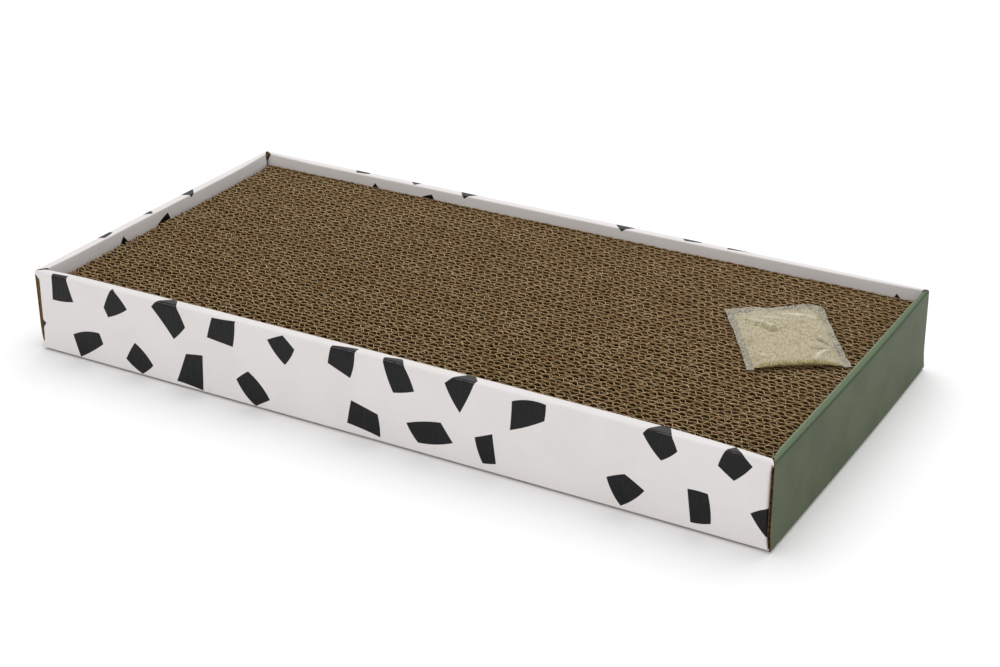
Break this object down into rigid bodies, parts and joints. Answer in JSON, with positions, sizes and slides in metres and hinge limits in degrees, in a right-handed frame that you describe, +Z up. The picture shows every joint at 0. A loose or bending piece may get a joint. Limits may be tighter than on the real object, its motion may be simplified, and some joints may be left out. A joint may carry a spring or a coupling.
{
  "type": "cardboard cat scratcher",
  "caption": "Oblong cat scratching pad of corrugated strips set on edge in a shallow folded board tray, with a small herb sachet lying on the pad.",
  "frame": {"origin": "centre of the tray's underside, on the floor", "axes": "+X along the tray towards its green end wall, +Y towards the back wall, +Z up"},
  "size_m": [0.454, 0.224, 0.0495],
  "materials": {
    "white_board": "satin",
    "green_board": "satin",
    "plain_board": "matte",
    "corrugated_strip": "matte",
    "sachet_web": "matte",
    "dried_herb": "matte"
  },
  "bodies": {
    "tray": {"base": "plain_board", "front_outer_wall": "white_board", "front_rim": "white_board", "front_inner_wall": "white_board", "back_outer_wall": "white_board", "back_rim": "white_board", "back_inner_wall": "white_board", "left_outer_wall": "white_board", "left_rim": "white_board", "left_inner_wall": "white_board", "right_outer_wall": "green_board", "right_rim": "green_board", "right_inner_wall": "green_board", "front_left_flap": "plain_board", "front_right_flap": "plain_board", "back_left_flap": "plain_board", "back_right_flap": "plain_board"},
    "pad": {"strip_bundle_1": "corrugated_strip", "strip_bundle_2": "corrugated_strip", "strip_bundle_3": "corrugated_strip", "strip_bundle_4": "corrugated_strip", "strip_bundle_5": "corrugated_strip", "strip_bundle_6": "corrugated_strip", "strip_bundle_7": "corrugated_strip", "strip_bundle_8": "corrugated_strip", "strip_bundle_9": "corrugated_strip", "strip_bundle_10": "corrugated_strip", "strip_bundle_11": "corrugated_strip", "strip_bundle_12": "corrugated_strip", "strip_bundle_13": "corrugated_strip", "strip_bundle_14": "corrugated_strip", "strip_bundle_15": "corrugated_strip", "strip_bundle_16": "corrugated_strip"},
    "sachet": {"sachet_lower_web": "sachet_web", "sachet_upper_web": "sachet_web", "herb_filling": "dried_herb"}
  },
  "joints": [
    {"name": "pad_lift", "type": "slide", "parent": "tray", "child": "pad", "axis": [0, 0, 1], "range_m": [0, 0.06]},
    {"name": "sachet_lift", "type": "slide", "parent": "pad", "child": "sachet", "axis": [0, 0, 1], "range_m": [0, 0.03]}
  ]
}
